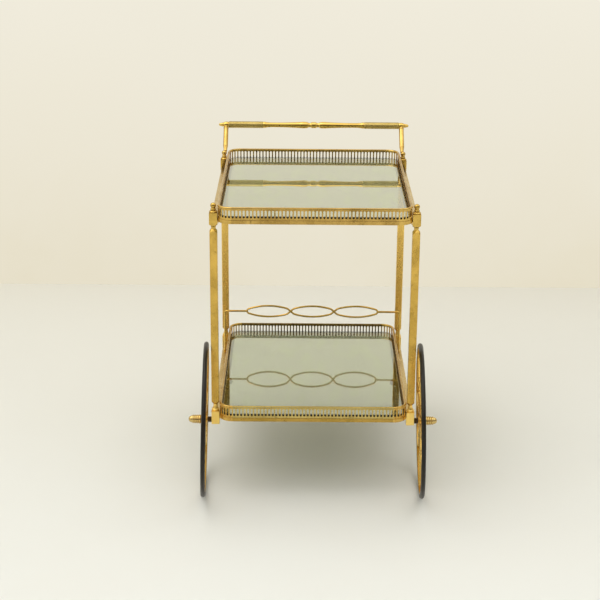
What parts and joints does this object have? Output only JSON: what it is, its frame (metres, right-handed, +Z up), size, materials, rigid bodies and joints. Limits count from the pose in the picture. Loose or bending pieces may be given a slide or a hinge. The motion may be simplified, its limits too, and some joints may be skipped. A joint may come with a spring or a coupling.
{
  "type": "bar cart",
  "caption": "Brass bar cart with galleried smoked-glass trays, large spoked wheels at one end, casters at the other and a turned push handle.",
  "frame": {"origin": "on the floor under the middle of the cart's bounding box", "axes": "+Z up, +Y towards the push handle, +X across the cart to the right when seen from the large wheels"},
  "size_m": [0.5528, 0.7094, 0.7308],
  "materials": {
    "columns": "polished, lightly worn",
    "blocks": "polished casting",
    "rails": "polished with brown patina",
    "handle_brass": "polished",
    "grip_brass": "satin, finely ribbed",
    "wheel_brass": "polished",
    "smoked_glass": "smoked, polished",
    "tyre_rubber": "satin black",
    "dark_metal": "dark, satin",
    "caster_rubber": "matt grey",
    "steel": "plain"
  },
  "bodies": {
    "frame": {"column_near_left": "columns", "upper_block_near_left": "blocks", "lower_block_near_left": "blocks", "column_near_right": "columns", "upper_block_near_right": "blocks", "lower_block_near_right": "blocks", "column_far_left": "columns", "upper_block_far_left": "blocks", "lower_block_far_left": "blocks", "column_far_right": "columns", "upper_block_far_right": "blocks", "lower_block_far_right": "blocks", "far_foot_columns": "columns", "near_finials": "blocks", "tie_rods": "steel", "upper_end_rails": "rails", "upper_side_rails": "rails", "upper_near_gallery": "rails", "upper_far_gallery": "rails", "upper_left_gallery": "rails", "upper_right_gallery": "rails", "upper_corners": "rails", "upper_glass": "smoked_glass", "lower_end_rails": "rails", "lower_side_rails": "rails", "lower_near_gallery": "rails", "lower_far_gallery": "rails", "lower_left_gallery": "rails", "lower_right_gallery": "rails", "lower_corners": "rails", "lower_glass": "smoked_glass", "tray_screws": "steel", "side_bars": "rails", "handle_arms": "handle_brass", "handle_sockets": "handle_brass", "handle_end_knobs": "handle_brass", "handle_centre": "handle_brass", "handle_grips": "grip_brass", "handle_core": "steel", "bottle_rail": "handle_brass", "rail_ferrules": "handle_brass", "axle_left": "steel", "axle_right": "steel", "axle_spacers": "dark_metal", "hub_caps": "wheel_brass", "caster_sockets": "blocks"},
    "left_wheel": {"left_wheel_hub": "wheel_brass", "left_wheel_spokes": "wheel_brass", "left_wheel_rim": "wheel_brass", "left_wheel_tyre": "tyre_rubber"},
    "left_caster": {"left_caster_fork": "dark_metal", "left_caster_pin": "steel"},
    "left_caster_roller": {"left_caster_wheel": "caster_rubber"},
    "right_wheel": {"right_wheel_hub": "wheel_brass", "right_wheel_spokes": "wheel_brass", "right_wheel_rim": "wheel_brass", "right_wheel_tyre": "tyre_rubber"},
    "right_caster": {"right_caster_fork": "dark_metal", "right_caster_pin": "steel"},
    "right_caster_roller": {"right_caster_wheel": "caster_rubber"}
  },
  "joints": [
    {"name": "left_wheel_turn", "type": "hinge", "parent": "frame", "child": "left_wheel", "pos_m": [-0.2405, -0.18238, 0.17243], "axis": [-0.9989, -0.0366, 0.0279], "continuous": true},
    {"name": "left_caster_swivel", "type": "hinge", "parent": "frame", "child": "left_caster", "pos_m": [-0.216, 0.29162, 0.0726], "axis": [0, 0, 1], "continuous": true},
    {"name": "left_caster_turn", "type": "hinge", "parent": "left_caster", "child": "left_caster_roller", "pos_m": [-0.216, 0.27162, 0.03], "axis": [1, 0, 0], "continuous": true},
    {"name": "right_wheel_turn", "type": "hinge", "parent": "frame", "child": "right_wheel", "pos_m": [0.2405, -0.18238, 0.17243], "axis": [0.9989, -0.0366, 0.0279], "continuous": true},
    {"name": "right_caster_swivel", "type": "hinge", "parent": "frame", "child": "right_caster", "pos_m": [0.216, 0.29162, 0.0726], "axis": [0, 0, 1], "continuous": true},
    {"name": "right_caster_turn", "type": "hinge", "parent": "right_caster", "child": "right_caster_roller", "pos_m": [0.216, 0.27162, 0.03], "axis": [1, 0, 0], "continuous": true}
  ]
}
